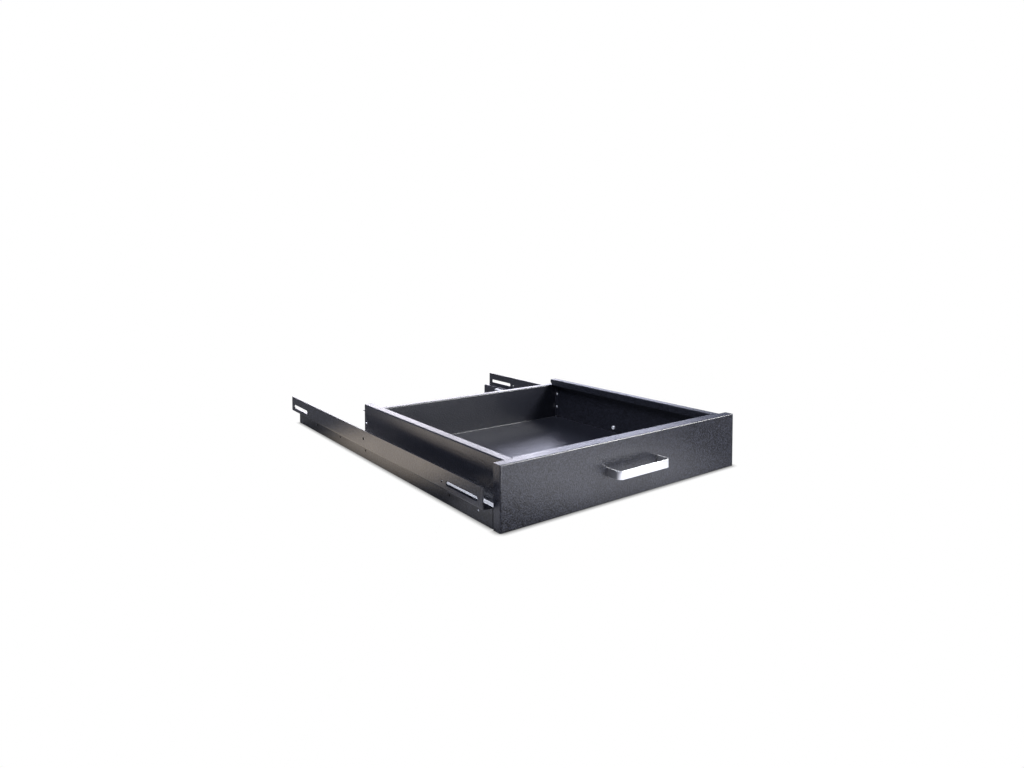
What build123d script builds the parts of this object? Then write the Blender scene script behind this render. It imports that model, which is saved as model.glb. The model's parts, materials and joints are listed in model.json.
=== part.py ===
# Sliding rack drawer: a folded steel tray behind a two-unit front panel, running on a pair of
# ball-bearing slides between two long Z-profile rails. The drawer is modelled shut.
# Millimetres. +X points to the right of the front, +Y to the back, +Z up. The origin lies
# under the middle of the whole object, at the level that it stands on.

from build123d import *
import os

os.makedirs("parts", exist_ok=True)

# Front panel: a pan of sheet steel, 19 inch wide and two units high
panel_width = 482.6
panel_height = 88.0
panel_sheet = 1.5
panel_bend = 2.0
panel_return = 15.8
panel_top_depth = 21.7
panel_lip = 10.0

# Tray: floor, front, back and both sides folded from one sheet
panel_overhang = 16.3
tray_depth = 441.0
tray_sheet = 1.2
tray_bend = 2.0
tray_clearance_under = 4.0
back_flange = 10.0
rim_width = 15.6
rim_depth = 12.0
rim_end_cut = 6.0
corner_flange = 12.5
fold_gap = 0.2

# Rails: the upper plate is fixed to the rack, the lower one carries a slide
rail_length = 720.0
rail_setback = 19.0
rail_sheet = 2.0
rail_bend = 3.5
rail_height = 58.0
rail_shelf_height = 29.5
rail_step = 16.0
rail_corner = 1.5

# Holes in a rail's upper plate, counted from each of its ends
slot_length = 79.0
slot_width = 7.0
slot_margin = 11.0
slot_height = 39.4
pin_hole = 4.0
pin_hole_gap = 11.3
middle_hole = 5.0

# Slides: two members each, with a row of balls above and one below
slide_length = 660.0
slide_setback = 1.5
slide_height = 27.0
slide_width = 13.0
slide_axis_height = 14.7
slide_sheet = 1.2
slide_bend = 1.8
slide_lip_bend = 1.4
outer_depth = 9.0
outer_lip = 1.9
inner_edge = 2.6
end_gap = 0.3

# Balls and the cage that spaces them
ball_diameter = 3.4
ball_clearance = 0.1
ball_offset = 4.6
race_depth = 0.4
ball_count = 6
ball_pitch = 26.0
cage_length = 160.0
cage_sheet = 0.8
cage_reach = 7.2
cage_clearance = 0.3
window_length = 30.0
window_width = 9.0
window_count = 4

# Slide ends: a rubber buffer at the back, small tabs that stop the cage
tab_sheet = 1.2
tab_width = 8.0
tab_margin = 5.5
buffer_length = 6.0
buffer_round = 1.2
front_stop_margin = 4.0

# Screws through slide and rail, measured from the slide's front and from its back
screw_radius = 2.0
thread_clearance = 0.05
rail_screws_from_front = (32.0, 105.0)
rail_screws_from_back = (46.0, 162.0, 275.0)
rail_screw_recess = 0.4
screw_head_cone = 90.0
screw_socket = 1.3
screw_socket_depth = 0.7
access_hole = 8.0

# Screws through the tray's sides into the slides
tray_screw_first = 29.5
tray_screw_pitch = 106.5
tray_screw_count = 3
pan_head_radius = 3.75
pan_head_height = 2.2
pan_head_round = 1.0
screw_end = 1.0
cross_length = 4.2
cross_width = 0.9
cross_depth = 1.0

# Rivets in the tray's four upright corners
rivet_radius = 1.6
rivet_head_radius = 3.2
rivet_head_height = 1.1
rivet_tail_radius = 2.0
rivet_tail_length = 1.4
rivet_heights = (27.0, 54.5)

# Studs on the panel's back and their nuts inside the tray
stud_length = 8.0
stud_inset = 45.0
stud_apart = 44.0
stud_hole = 2.3
nut_across_flats = 7.0
nut_height = 3.4
nut_flange_radius = 4.6
nut_flange_height = 1.0
stud_chamfer = 0.5

# Handle: flat bar bent to a bow, with its ends riveted through the panel
handle_length = 106.0
handle_projection = 25.0
handle_bar_width = 12.5
handle_bar = 3.0
handle_bend = 6.0
handle_edge = 0.4
handle_height = 44.5
tenon_width = 8.0
tenon_clearance = 0.1
tenon_head_width = 10.5
tenon_head = 5.0
tenon_head_height = 1.2
tenon_head_taper = 15.0
tenon_window = 4.0

# Places worked out from those sizes
tray_width = panel_width - 2 * panel_overhang
front = (handle_projection - rail_setback - rail_length) / 2
tray_back = front + tray_depth
tray_front = front + panel_sheet
rail_front = front + rail_setback
rail_back = rail_front + rail_length
slide_front = rail_front + slide_setback
slide_back = slide_front + slide_length
side = tray_width / 2
rail_inner = side + slide_width
rail_lower = rail_inner + rail_sheet
rail_outer = rail_lower + rail_step
floor_top = tray_clearance_under + tray_sheet
wall_inner = side - tray_sheet
rim_inner = side - rim_width
lip_foot = panel_height - rim_depth
end_width = 2 * (wall_inner - fold_gap)

outer_half = slide_height / 2
race_radius = ball_diameter / 2 + ball_clearance
ball_height = outer_half - slide_sheet + race_depth - race_radius
inner_half = ball_height - race_radius + race_depth
ball_x = -rail_inner + ball_offset
ball_rows = [(ball_x, slide_axis_height + way * ball_height) for way in (-1, 1)]
inner_length = slide_length - tab_sheet - buffer_length - end_gap
inner_tab = inner_length - tab_margin - tab_sheet
cage_stop = front_stop_margin + tab_sheet + end_gap
drawer_travel = inner_tab - cage_stop - cage_length - end_gap
cage_front = slide_front + cage_stop + drawer_travel / 2

rail_screw_places = [slide_front + place for place in rail_screws_from_front]
rail_screw_places += [slide_back - place for place in rail_screws_from_back]
rail_screw_points = [(place, slide_axis_height) for place in rail_screw_places]
tray_screw_steps = [tray_screw_first + step * tray_screw_pitch for step in range(tray_screw_count)]
tray_screw_points = [(slide_front + step, slide_axis_height) for step in tray_screw_steps]
rivet_places = [tray_front + corner_flange / 2 + tray_bend / 2, tray_back - corner_flange / 2]
rivet_points = [(place, height) for place in rivet_places for height in rivet_heights]
stud_heights = [panel_height / 2 + way * stud_apart / 2 for way in (-1, 1)]
stud_points = [(way * (side - stud_inset), height) for way in (-1, 1) for height in stud_heights]
tenon_x = handle_length / 2 - handle_bar / 2
tenon_points = [(-tenon_x, handle_height), (tenon_x, handle_height)]


def facing_back(y):
    """The upright plane at depth y: X to the right, Z up. A negative extrude runs to the back."""
    return Plane.XZ.offset(-y)


def facing_right(x):
    """The upright plane at x: Y to the right, Z up. A positive extrude runs along +X."""
    return Plane.YZ.offset(x)


def folded_section(points, bends, sheet):
    """The section of a folded sheet: one face follows the points, the sheet lies to their left."""
    with BuildSketch() as section:
        with BuildLine():
            FilletPolyline(*points, radius=bends)
            offset(amount=sheet, side=Side.LEFT)
        make_face()
    return section.sketch


def mirrored(piece, name):
    """The same piece for the right-hand side."""
    with BuildPart() as twin:
        mirror(piece.part, about=Plane.YZ)
    twin.part.label = name
    return twin


# Rail: upper plate outboard, a narrow shelf, lower plate inboard
with BuildPart() as rail_left:
    with BuildSketch(facing_back(rail_front)):
        shelf_under = rail_shelf_height - rail_sheet
        add(
            folded_section(
                [
                    (-rail_outer, rail_height),
                    (-rail_outer, shelf_under),
                    (-rail_lower, shelf_under),
                    (-rail_lower, 0),
                ],
                [rail_bend, rail_bend - rail_sheet],
                rail_sheet,
            )
        )
    extrude(amount=-rail_length)
    end_edges = rail_left.edges().filter_by(Axis.X)
    fillet(end_edges.group_by(Axis.Z)[0] + end_edges.group_by(Axis.Z)[-1], radius=rail_corner)
    slot_centre = slot_margin + slot_length / 2
    pin_place = slot_margin + slot_length + pin_hole_gap
    with BuildSketch(facing_right(-rail_outer)):
        with Locations((rail_front + slot_centre, slot_height), (rail_back - slot_centre, slot_height)):
            SlotOverall(slot_length, slot_width)
        with Locations((rail_front + pin_place, slot_height), (rail_back - pin_place, slot_height)):
            Circle(pin_hole / 2)
        with Locations(((rail_front + rail_back) / 2, (rail_height + rail_shelf_height) / 2)):
            Circle(middle_hole / 2)
    extrude(amount=rail_sheet, mode=Mode.SUBTRACT)
    with BuildSketch(facing_right(-rail_lower)):
        with Locations(*rail_screw_points):
            Circle(screw_radius + thread_clearance)
    extrude(amount=rail_sheet, mode=Mode.SUBTRACT)
rail_left.part.label = "rail_left"

# Outer slide member: a C-channel with curled lips, its web flat on the rail
with BuildPart() as slide_outer_left:
    with BuildSketch(facing_back(slide_front)):
        outer_top = slide_axis_height + outer_half
        outer_foot = slide_axis_height - outer_half
        outer_tip = -rail_inner + outer_depth
        add(
            folded_section(
                [
                    (outer_tip, outer_top - outer_lip),
                    (outer_tip, outer_top),
                    (-rail_inner, outer_top),
                    (-rail_inner, outer_foot),
                    (outer_tip, outer_foot),
                    (outer_tip, outer_foot + outer_lip),
                ],
                [slide_lip_bend, slide_bend, slide_bend, slide_lip_bend],
                slide_sheet,
            )
        )
        with Locations(*ball_rows):
            Circle(race_radius, mode=Mode.SUBTRACT)
    extrude(amount=-slide_length)
    # Tab that holds the rubber buffer at the back
    with BuildSketch(facing_back(slide_back - tab_sheet)):
        with Locations((-rail_inner + slide_sheet, slide_axis_height)):
            Rectangle(outer_depth - slide_sheet, 2 * inner_half, align=(Align.MIN, Align.CENTER))
    extrude(amount=-tab_sheet)
    # Low tab that stops the cage at the front
    with BuildSketch(facing_back(slide_front + front_stop_margin)):
        with Locations((-rail_inner + slide_sheet, slide_axis_height)):
            Rectangle(cage_sheet, tab_width, align=(Align.MIN, Align.CENTER))
    extrude(amount=-tab_sheet)
    with Locations(facing_right(-rail_inner + slide_sheet)):
        with Locations(*rail_screw_points):
            CounterSinkHole(
                radius=screw_radius + thread_clearance,
                counter_sink_radius=screw_radius + slide_sheet + thread_clearance,
                depth=slide_sheet,
                counter_sink_angle=screw_head_cone,
            )
slide_outer_left.part.label = "slide_outer_left"

# Inner slide member: a narrower C-channel facing the outer one, its web on the tray's side
with BuildPart() as slide_inner_left:
    with BuildSketch(facing_back(slide_front)):
        inner_top = slide_axis_height + inner_half
        inner_foot = slide_axis_height - inner_half
        inner_tip = -rail_inner + inner_edge
        add(
            folded_section(
                [(inner_tip, inner_foot), (-side, inner_foot), (-side, inner_top), (inner_tip, inner_top)],
                [slide_bend, slide_bend],
                slide_sheet,
            )
        )
        with Locations(*ball_rows):
            Circle(race_radius, mode=Mode.SUBTRACT)
    extrude(amount=-inner_length)
    # Tab that meets the cage when the drawer is fully out
    with BuildSketch(facing_back(slide_front + inner_tab)):
        with Locations((-side - slide_sheet, slide_axis_height)):
            tab_reach = slide_width - 2 * slide_sheet - cage_clearance
            Rectangle(tab_reach, tab_width, align=(Align.MAX, Align.CENTER))
    extrude(amount=-tab_sheet)
    with BuildSketch(facing_right(-side)):
        with Locations(*tray_screw_points):
            Circle(screw_radius + thread_clearance)
        # The foremost rail screw lies behind a tray screw, so it has no hole to reach it through
        with Locations(*rail_screw_points[1:]):
            Circle(access_hole / 2)
    extrude(amount=-slide_sheet, mode=Mode.SUBTRACT)
slide_inner_left.part.label = "slide_inner_left"

# Ball cage: a thin channel that runs at half the drawer's speed
with BuildPart() as ball_cage_left:
    with BuildSketch(facing_back(cage_front)):
        cage_half = ball_height + cage_sheet / 2
        cage_web = -rail_inner + slide_sheet + cage_clearance
        cage_tip = -rail_inner + cage_reach
        cage_top = slide_axis_height + cage_half
        cage_foot = slide_axis_height - cage_half
        add(
            folded_section(
                [(cage_tip, cage_top), (cage_web, cage_top), (cage_web, cage_foot), (cage_tip, cage_foot)],
                [slide_sheet, slide_sheet],
                cage_sheet,
            )
        )
    extrude(amount=-cage_length)
    with BuildSketch(Plane.XY.offset(cage_foot)):
        with Locations((ball_x, cage_front + cage_length / 2)):
            with GridLocations(0, ball_pitch, 1, ball_count):
                Circle(race_radius)
    extrude(amount=2 * cage_half, mode=Mode.SUBTRACT)
    with BuildSketch(facing_right(cage_web)):
        with Locations((cage_front + cage_length / 2, slide_axis_height)):
            with GridLocations(cage_length / window_count, 0, window_count, 1):
                SlotOverall(window_length, window_width)
    extrude(amount=cage_sheet, mode=Mode.SUBTRACT)
ball_cage_left.part.label = "ball_cage_left"

# Balls: an upper and a lower row
with BuildPart() as slide_balls_left:
    for row_x, row_z in ball_rows:
        with Locations((row_x, cage_front + cage_length / 2, row_z)):
            with GridLocations(0, ball_pitch, 1, ball_count):
                Sphere(ball_diameter / 2)
slide_balls_left.part.label = "slide_balls_left"

# Rubber buffer that the inner member closes against
with BuildPart() as slide_buffer_left:
    with BuildSketch(facing_back(slide_back - tab_sheet - buffer_length)):
        with Locations((-rail_inner + inner_edge, slide_axis_height)):
            Rectangle(outer_depth - inner_edge, 2 * inner_half, align=(Align.MIN, Align.CENTER))
    extrude(amount=-buffer_length)
    fillet(slide_buffer_left.faces().sort_by(Axis.Y)[0].edges(), radius=buffer_round)
slide_buffer_left.part.label = "slide_buffer_left"

# Countersunk screws that hold the outer member to the rail, driven from the slide's inside
with BuildPart() as rail_screws_left:
    for place in rail_screw_places:
        head_centre = (-rail_inner + slide_sheet, place, slide_axis_height)
        shank_end = slide_sheet + rail_sheet - rail_screw_recess
        with BuildSketch(Plane(head_centre, x_dir=(-1, 0, 0), z_dir=(0, 1, 0))):
            with BuildLine():
                Polyline(
                    (0, 0),
                    (0, screw_radius + slide_sheet),
                    (slide_sheet, screw_radius),
                    (shank_end, screw_radius),
                    (shank_end, 0),
                    close=True,
                )
            make_face()
        revolve(axis=Axis(head_centre, (1, 0, 0)))
        with BuildSketch(Plane(head_centre, z_dir=(-1, 0, 0))):
            RegularPolygon(screw_socket, 6)
        extrude(amount=screw_socket_depth, mode=Mode.SUBTRACT)
rail_screws_left.part.label = "rail_screws_left"

# Pan-head screws inside the tray, through its side into the inner member
with BuildPart() as slide_screws_left:
    with Locations(facing_right(-wall_inner)):
        with Locations(*tray_screw_points):
            Cylinder(pan_head_radius, pan_head_height, align=(Align.CENTER, Align.CENTER, Align.MIN))
            Cylinder(
                screw_radius,
                tray_sheet + slide_sheet + screw_end,
                align=(Align.CENTER, Align.CENTER, Align.MAX),
            )
    fillet(slide_screws_left.edges().filter_by(GeomType.CIRCLE).group_by(Axis.X)[-1], radius=pan_head_round)
    with BuildSketch(facing_right(-wall_inner + pan_head_height)):
        with Locations(*tray_screw_points):
            Rectangle(cross_length, cross_width)
            Rectangle(cross_width, cross_length)
    extrude(amount=-cross_depth, mode=Mode.SUBTRACT)
slide_screws_left.part.label = "slide_screws_left"

# Floor of the tray, folded from one sheet with its walls and kept apart up to their bends
with BuildPart() as tray_floor:
    with Locations((0, tray_front + tray_bend, tray_clearance_under)):
        Box(
            tray_width - 2 * tray_bend,
            tray_back - tray_front - 2 * tray_bend,
            tray_sheet,
            align=(Align.CENTER, Align.MIN, Align.MIN),
        )
tray_floor.part.label = "tray_floor"

# Tray: the sides carry channel-shaped rims, the front stands low under the panel's top
with BuildPart() as tray:
    with BuildSketch(facing_back(tray_front + tray_bend)):
        add(
            folded_section(
                [
                    (-rim_inner, lip_foot),
                    (-rim_inner, panel_height),
                    (-side, panel_height),
                    (-side, tray_clearance_under),
                    (side, tray_clearance_under),
                    (side, panel_height),
                    (rim_inner, panel_height),
                    (rim_inner, lip_foot),
                ],
                tray_bend,
                tray_sheet,
            )
        )
    extrude(amount=-(tray_back - tray_front - tray_bend))
    # The lips' lower corners are cut off at the back
    back_edges = tray.faces().sort_by(Axis.Y)[-1].edges().filter_by(Axis.X)
    lip_ends = back_edges.filter_by(lambda edge: abs(edge.center().Z - lip_foot) < fold_gap)
    chamfer(lip_ends, length=rim_end_cut)
    # The rims stop where the panel's top begins
    front_top = panel_height - panel_bend - fold_gap
    with BuildSketch(facing_back(tray_front)):
        with Locations((0, front_top)):
            Rectangle(tray_width, panel_height, align=(Align.CENTER, Align.MIN))
        with Locations((0, lip_foot)):
            Rectangle(end_width, rim_depth, align=(Align.CENTER, Align.MIN))
    extrude(amount=-(front + panel_return + fold_gap - tray_front), mode=Mode.SUBTRACT)
    # The floor is trimmed for the folds of the back and the front
    with BuildSketch(Plane.XY):
        with Locations((0, tray_back)):
            Rectangle(2 * side, tray_bend, align=(Align.CENTER, Align.MAX))
    extrude(amount=tray_clearance_under + tray_bend, mode=Mode.SUBTRACT)
    # Back: up from the floor, with a flange turned to the back
    with BuildSketch(facing_right(0)):
        add(
            folded_section(
                [
                    (tray_back - 2 * tray_bend, tray_clearance_under),
                    (tray_back, tray_clearance_under),
                    (tray_back, lip_foot - tray_sheet),
                    (tray_back + back_flange, lip_foot - tray_sheet),
                ],
                [tray_bend, tray_bend - tray_sheet],
                tray_sheet,
            )
        )
    extrude(amount=end_width / 2, both=True)
    # Front: up from the floor, behind the panel
    with BuildSketch(facing_right(0)):
        add(
            folded_section(
                [
                    (tray_front, front_top),
                    (tray_front, tray_clearance_under),
                    (tray_front + 2 * tray_bend, tray_clearance_under),
                ],
                tray_bend,
                tray_sheet,
            )
        )
    extrude(amount=end_width / 2, both=True)
    # Corner flanges, folded from the back and the front along the sides
    flange_foot = floor_top + tray_bend
    flange_top = lip_foot - tray_bend
    corner_x = end_width / 2
    middle_x = corner_x - corner_flange
    behind_front = tray_front + corner_flange
    before_back = tray_back - corner_flange
    corner_paths = [
        [(middle_x, tray_front), (corner_x, tray_front), (corner_x, behind_front)],
        [(corner_x, before_back), (corner_x, tray_back), (middle_x, tray_back)],
        [(-middle_x, tray_back), (-corner_x, tray_back), (-corner_x, before_back)],
        [(-corner_x, behind_front), (-corner_x, tray_front), (-middle_x, tray_front)],
    ]
    for path in corner_paths:
        with BuildSketch(Plane.XY.offset(flange_foot)):
            add(folded_section(path, tray_bend, tray_sheet))
        extrude(amount=flange_top - flange_foot)
    # Holes for the slide screws and the rivets, through sides and flanges
    with BuildSketch(facing_right(0)):
        with Locations(*tray_screw_points):
            Circle(screw_radius + thread_clearance)
        with Locations(*rivet_points):
            Circle(rivet_radius + thread_clearance)
    extrude(amount=tray_width, both=True, mode=Mode.SUBTRACT)
    # Holes in the front for the panel's studs, windows for the handle's riveted ends
    with BuildSketch(facing_back(tray_front)):
        with Locations(*stud_points):
            Circle(stud_hole)
        with Locations(*tenon_points):
            Rectangle(tenon_head + 2 * tenon_window, tenon_head_width + 2 * tenon_window)
    extrude(amount=-tray_sheet, mode=Mode.SUBTRACT)
    # The walls and their bends are kept apart from the flat floor, so that the tray stays open
    add(tray_floor.part, mode=Mode.SUBTRACT)
    # Relief notches at the foot of the four corners, where two folds meet
    corner_middle = (tray_front + tray_back) / 2
    with Locations((0, corner_middle, tray_clearance_under)):
        with GridLocations(tray_width - tray_bend, tray_back - tray_front - 2 * tray_bend, 2, 2):
            Box(
                tray_bend,
                2 * tray_bend,
                tray_bend,
                align=(Align.CENTER, Align.CENTER, Align.MIN),
                mode=Mode.SUBTRACT,
            )
tray.part.label = "tray"

# Blind rivets in the corners: a domed head inside, a shank and a swollen tail outside
with BuildPart() as corner_rivets_left:
    head_face = end_width / 2 - tray_sheet
    dome_radius = (rivet_head_height**2 + rivet_head_radius**2) / (2 * rivet_head_height)
    grip = side - head_face
    for place, height in rivet_points:
        with BuildSketch(Plane((-head_face, place, height), x_dir=(1, 0, 0), z_dir=(0, -1, 0))):
            with BuildLine():
                Polyline(
                    (rivet_head_height, 0),
                    (-grip - rivet_tail_length, 0),
                    (-grip - rivet_tail_length, rivet_tail_radius),
                    (-grip, rivet_tail_radius),
                    (-grip, rivet_radius),
                    (0, rivet_radius),
                    (0, rivet_head_radius),
                )
                RadiusArc((0, rivet_head_radius), (rivet_head_height, 0), dome_radius)
            make_face()
        revolve(axis=Axis((0, place, height), (1, 0, 0)))
corner_rivets_left.part.label = "corner_rivets_left"

# Front panel: a shallow pan, its top flange reaching back between the tray's rims
with BuildPart() as front_panel:
    with Locations((0, front, 0)):
        Box(panel_width, panel_return, panel_height, align=(Align.CENTER, Align.MIN, Align.MIN))
    fillet(front_panel.faces().sort_by(Axis.Y)[0].edges(), radius=panel_bend)
    offset(amount=-panel_sheet, openings=front_panel.faces().sort_by(Axis.Y)[-1])
    with BuildSketch(facing_right(0)):
        add(
            folded_section(
                [
                    (front + panel_top_depth, panel_height - panel_lip),
                    (front + panel_top_depth, panel_height),
                    (front + panel_return - panel_sheet, panel_height),
                ],
                panel_bend,
                panel_sheet,
            )
        )
    extrude(amount=rim_inner - fold_gap, both=True)
    with BuildSketch(facing_back(front)):
        with Locations(*tenon_points):
            Rectangle(handle_bar + 2 * tenon_clearance, tenon_width + 2 * tenon_clearance)
    extrude(amount=-panel_sheet, mode=Mode.SUBTRACT)
front_panel.part.label = "front_panel"

# Weld studs on the panel's back
with BuildPart() as panel_studs:
    with BuildSketch(facing_back(tray_front)):
        with Locations(*stud_points):
            Circle(screw_radius)
    extrude(amount=-stud_length)
    chamfer(panel_studs.faces().group_by(Axis.Y)[-1].edges(), length=stud_chamfer)
panel_studs.part.label = "panel_studs"

# Flange nuts on those studs, inside the tray
with BuildPart() as panel_nuts:
    with BuildSketch(facing_back(tray_front + tray_sheet)):
        with Locations(*stud_points):
            Circle(nut_flange_radius)
            Circle(screw_radius + thread_clearance, mode=Mode.SUBTRACT)
    extrude(amount=-nut_flange_height)
    with BuildSketch(facing_back(tray_front + tray_sheet)):
        with Locations(*stud_points):
            RegularPolygon(nut_across_flats / 2, 6, major_radius=False)
            Circle(screw_radius + thread_clearance, mode=Mode.SUBTRACT)
    extrude(amount=-nut_height)
panel_nuts.part.label = "panel_nuts"

# Handle: the bow, then a tenon at each end with its head spread behind the panel
with BuildPart() as handle:
    bar_foot = handle_height - handle_bar_width / 2
    with BuildSketch(Plane.XY.offset(bar_foot)):
        half = handle_length / 2
        tip = front - handle_projection
        add(
            folded_section(
                [(-half, front), (-half, tip), (half, tip), (half, front)],
                handle_bend,
                handle_bar,
            )
        )
    extrude(amount=handle_bar_width)
    long_edges = handle.faces().sort_by(Axis.Z)[-1].edges() + handle.faces().sort_by(Axis.Z)[0].edges()
    seat_edges = long_edges.group_by(Axis.Y)[-1]
    fillet([edge for edge in long_edges if edge not in seat_edges], radius=handle_edge)
    with BuildSketch(facing_back(front)):
        with Locations(*tenon_points):
            Rectangle(handle_bar, tenon_width)
    extrude(amount=-panel_sheet)
    with BuildSketch(facing_back(front + panel_sheet)):
        with Locations(*tenon_points):
            Rectangle(tenon_head, tenon_head_width)
    extrude(amount=-tenon_head_height, taper=tenon_head_taper)
handle.part.label = "handle"

pieces = [
    rail_left,
    mirrored(rail_left, "rail_right"),
    slide_outer_left,
    mirrored(slide_outer_left, "slide_outer_right"),
    slide_inner_left,
    mirrored(slide_inner_left, "slide_inner_right"),
    ball_cage_left,
    mirrored(ball_cage_left, "ball_cage_right"),
    slide_balls_left,
    mirrored(slide_balls_left, "slide_balls_right"),
    slide_buffer_left,
    mirrored(slide_buffer_left, "slide_buffer_right"),
    rail_screws_left,
    mirrored(rail_screws_left, "rail_screws_right"),
    slide_screws_left,
    mirrored(slide_screws_left, "slide_screws_right"),
    corner_rivets_left,
    mirrored(corner_rivets_left, "corner_rivets_right"),
    tray_floor,
    tray,
    front_panel,
    panel_studs,
    panel_nuts,
    handle,
]
for piece in pieces:
    export_step(piece.part, f"parts/{piece.part.label}.step")
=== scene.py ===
# Sliding rack drawer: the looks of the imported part, its floor, light and camera.
# Metres, in the part's own frame: +X to the right of the front, +Y to the back, +Z up.

import json
import math

import bmesh
import bpy
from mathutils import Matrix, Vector

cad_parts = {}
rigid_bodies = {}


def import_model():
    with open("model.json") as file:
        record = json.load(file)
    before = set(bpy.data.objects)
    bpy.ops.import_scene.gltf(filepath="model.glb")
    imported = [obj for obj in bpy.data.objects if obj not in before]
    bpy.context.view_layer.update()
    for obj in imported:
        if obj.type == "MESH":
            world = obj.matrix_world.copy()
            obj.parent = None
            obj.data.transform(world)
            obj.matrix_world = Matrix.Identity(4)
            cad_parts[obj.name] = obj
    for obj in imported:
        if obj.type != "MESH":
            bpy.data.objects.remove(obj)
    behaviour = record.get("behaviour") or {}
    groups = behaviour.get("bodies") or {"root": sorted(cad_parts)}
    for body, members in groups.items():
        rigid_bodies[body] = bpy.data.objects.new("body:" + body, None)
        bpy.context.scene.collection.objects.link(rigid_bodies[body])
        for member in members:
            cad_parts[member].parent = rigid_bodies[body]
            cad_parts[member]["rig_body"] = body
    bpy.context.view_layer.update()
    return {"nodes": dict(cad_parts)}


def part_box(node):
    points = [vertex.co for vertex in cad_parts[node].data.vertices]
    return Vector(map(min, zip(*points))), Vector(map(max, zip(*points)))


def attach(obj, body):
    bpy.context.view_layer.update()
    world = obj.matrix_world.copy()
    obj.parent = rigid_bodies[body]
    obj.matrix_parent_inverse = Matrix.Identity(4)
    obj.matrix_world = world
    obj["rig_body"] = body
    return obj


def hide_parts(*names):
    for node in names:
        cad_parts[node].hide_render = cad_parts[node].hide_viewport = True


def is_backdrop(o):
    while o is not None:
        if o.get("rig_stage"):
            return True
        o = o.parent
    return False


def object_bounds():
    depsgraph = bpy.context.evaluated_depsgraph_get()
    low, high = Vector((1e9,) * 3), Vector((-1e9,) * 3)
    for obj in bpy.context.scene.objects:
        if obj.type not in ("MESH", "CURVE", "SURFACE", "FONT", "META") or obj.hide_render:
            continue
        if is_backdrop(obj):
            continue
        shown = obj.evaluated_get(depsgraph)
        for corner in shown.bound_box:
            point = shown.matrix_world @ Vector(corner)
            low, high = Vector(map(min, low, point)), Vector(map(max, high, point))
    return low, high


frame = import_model()
collection = bpy.context.scene.collection

mm = 0.001
quarter_turn = math.radians(90)
hex_sides = 6

# Sockets of a mix node: its share, the two colours or numbers that it mixes, and the mixed colour
mix_share = 0
mix_from = 6
mix_to = 7
mix_result = 2
float_from = 2
float_to = 3

# Camera, where the photographer stood
camera_place = (-0.7285, -1.037, 0.3441)
camera_dip = math.radians(2.449)
camera_bearing = math.radians(-36.62)
camera_lens = 23.682
camera_sensor = 36.0
camera_shift = -0.0914

# The floor: its contact shadow, and what gloss sees of it
floor_half = 12.0
floor_paint = "E6E6E6"
shade_samples = 12
contact_reach = 10 * mm
contact_depth = 1.7
mirror_reach = 150 * mm
mirror_depth = 0.95
mirror_light = 0.26
mirror_hue = "F4F5FF"

# Pools of light on it: before the panel, at the left rail's front end, and beside its middle
pool_places = ((0.04, -0.52, 0), (-0.275, -0.28, 0), (-0.35, 0.06, 0))
pool_cores = (0.12, 0.03, 0.1)
pool_rims = (0.29, 0.09, 0.28)
pool_gains = (1.72, 0.72, 1.85)
last_pool_hue = "FFF1E2"

# The sky that the object sees: a bright low band, blurred into a dim ceiling
sky_hue = "D2DCFF"
sky_low = 0.45
sky_high = 0.1
band_top = 0.3
band_blur = 0.16
plain_white = "FFFFFF"

# Sizes of the fine dressing
weld_distance = 0.0005 * mm
flat_angle = math.radians(0.5)
smooth_angle = math.radians(28)
edge_angle = math.radians(40)
sheet_edge = 0.18 * mm
edge_steps = 2
seam_reach = 0.02 * mm
square_on = 0.9

# Sizes of the fasteners and the handle, as in the part's source but for the handle's rounder bend
rivet_sizes = {
    "Head radius": 3.2 * mm,
    "Head height": 1.1 * mm,
    "Hole radius": 0.9 * mm,
    "Hole depth": 0.8 * mm,
    "Shank radius": 1.6 * mm,
    "Grip": 2.6 * mm,
    "Tail radius": 2.0 * mm,
    "Tail length": 1.4 * mm,
}
pan_screw_sizes = {
    "Head radius": 3.75 * mm,
    "Head height": 2.2 * mm,
    "Head round": 1.0 * mm,
    "Cross length": 4.2 * mm,
    "Cross width": 0.9 * mm,
    "Cross depth": 1.0 * mm,
    "Shank radius": 2.0 * mm,
    "Root radius": 1.7 * mm,
    "Pitch": 0.7 * mm,
}
pan_screw_threads = 4
rail_screw_sizes = {
    "Head radius": 3.2 * mm,
    "Head depth": 1.2 * mm,
    "Socket radius": 1.5 * mm,
    "Socket depth": 0.7 * mm,
    "Shank radius": 2.0 * mm,
    "Length": 2.8 * mm,
    "Cup radius": 1.1 * mm,
    "Cup depth": 0.6 * mm,
}
rail_screw_steps = (-304.5 * mm, -231.5 * mm, 48.5 * mm, 161.5 * mm, 277.5 * mm)
stud_sizes = {
    "Shank radius": 2.0 * mm,
    "Root radius": 1.72 * mm,
    "Pitch": 0.7 * mm,
    "Foot": 0.6 * mm,
}
stud_threads = 10
nut_sizes = {
    "Corner radius": 4.04 * mm,
    "Height": 3.4 * mm,
    "Flange radius": 4.6 * mm,
    "Flange height": 1.0 * mm,
    "Bevel": 0.5 * mm,
}
handle_sizes = {
    "Bend": 7.0 * mm,
    "Bar": 3.0 * mm,
    "Bar width": 12.5 * mm,
    "Edge": 0.4 * mm,
}
ball_sizes = {"Ball radius": 1.7 * mm, "Pitch": 26.0 * mm}
ball_count = 6
ball_segments = 24
ball_rings = 12
turned_sides = 32
crown_steps = 5
bend_steps = 14

# Share of its length that the hex cutter sinks into the head: its top stays just proud of it
socket_sink = 0.95

# Seeds of the fasteners' random turns
pan_screw_seed = 3
rail_screw_seed = 5
nut_seed = 7


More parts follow.
